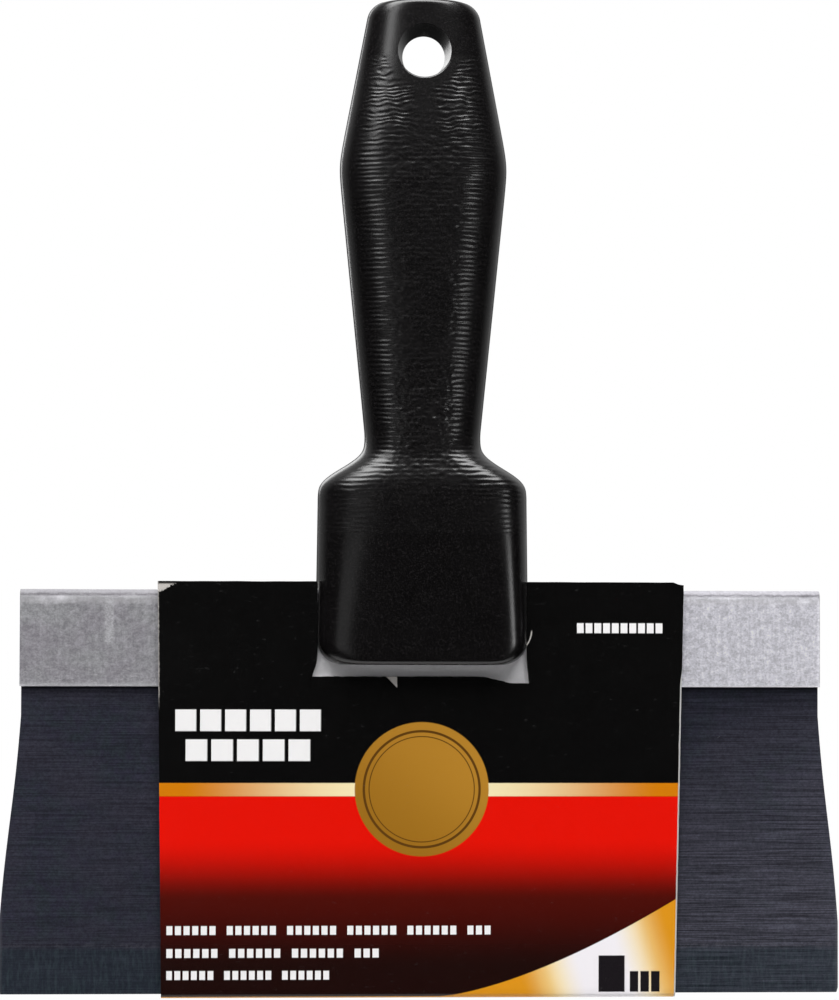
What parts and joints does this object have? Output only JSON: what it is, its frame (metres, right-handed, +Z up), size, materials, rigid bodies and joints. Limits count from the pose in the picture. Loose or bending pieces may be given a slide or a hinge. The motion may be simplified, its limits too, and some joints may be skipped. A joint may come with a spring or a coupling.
{
  "type": "drywall taping knife",
  "caption": "Flat-bladed drywall taping knife with a flared blued-steel blade, folded aluminium backing bar, hollow textured black handle and a slide-off card sleeve.",
  "frame": {"origin": "centre of the hang hole, half way through the handle", "axes": "+Z up the handle away from the blade, +X across the blade, the knife's front faces -Y"},
  "size_m": [0.2032, 0.0196, 0.2418],
  "materials": {
    "blued_steel": "blued spring steel, finely brushed across the blade",
    "mill_aluminium": "mill finish with faint handling marks",
    "black_plastic": "satin black, fine cross ribs and leathery grain on the grip",
    "zinc_steel": "bright zinc plate",
    "printed_card": "varnished print in black, red and gold on white board"
  },
  "bodies": {
    "knife": {"blade": "blued_steel", "backing_bar": "mill_aluminium", "blade_rivet_1": "mill_aluminium", "blade_rivet_2": "mill_aluminium", "blade_rivet_3": "mill_aluminium", "blade_rivet_4": "mill_aluminium", "handle_front_shell": "black_plastic", "handle_back_shell": "black_plastic", "head_screw_left": "zinc_steel", "head_screw_right": "zinc_steel", "grip_screw": "zinc_steel"},
    "sleeve": {"card_sleeve": "printed_card"}
  },
  "joints": [
    {"name": "sleeve_slide", "type": "slide", "parent": "knife", "child": "sleeve", "axis": [0, 0, -1], "range_m": [0, 0.11]}
  ]
}
